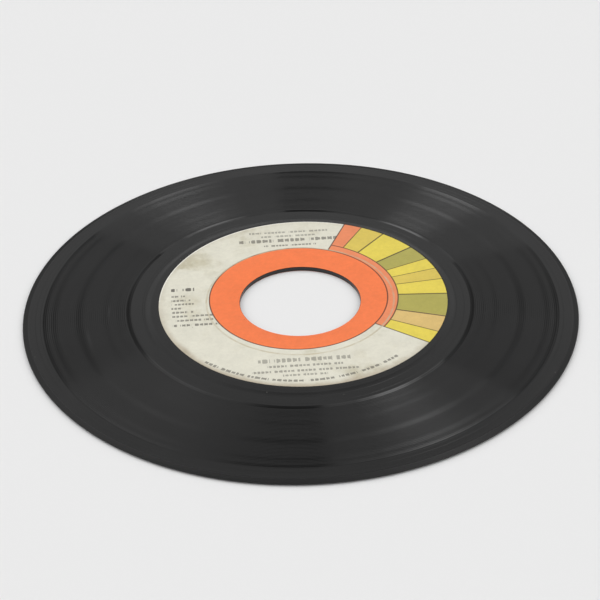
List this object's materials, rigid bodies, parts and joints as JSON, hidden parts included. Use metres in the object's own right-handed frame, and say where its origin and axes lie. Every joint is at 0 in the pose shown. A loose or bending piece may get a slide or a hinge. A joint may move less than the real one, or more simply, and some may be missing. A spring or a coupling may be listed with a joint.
{
  "type": "vinyl record",
  "caption": "Flat round sound record with a large centre hole, a spiral groove in each face and a printed paper label on each side.",
  "frame": {"origin": "centre of the centre hole, on the underside that the record lies on", "axes": "+Z along the centre hole's axis, out of side a; +X and +Y in the plane of the record, with the groove's half turns meeting on the X axis"},
  "size_m": [0.1746, 0.1746, 0.0016],
  "materials": {
    "vinyl": "charcoal pressed vinyl, glossy on the smooth bands, silky along the grooves",
    "label_paper": "matt cream label paper, printed and slightly aged"
  },
  "bodies": {
    "root": {"disc": "vinyl", "label_side_a": "label_paper", "label_side_b": "label_paper"}
  },
  "joints": []
}
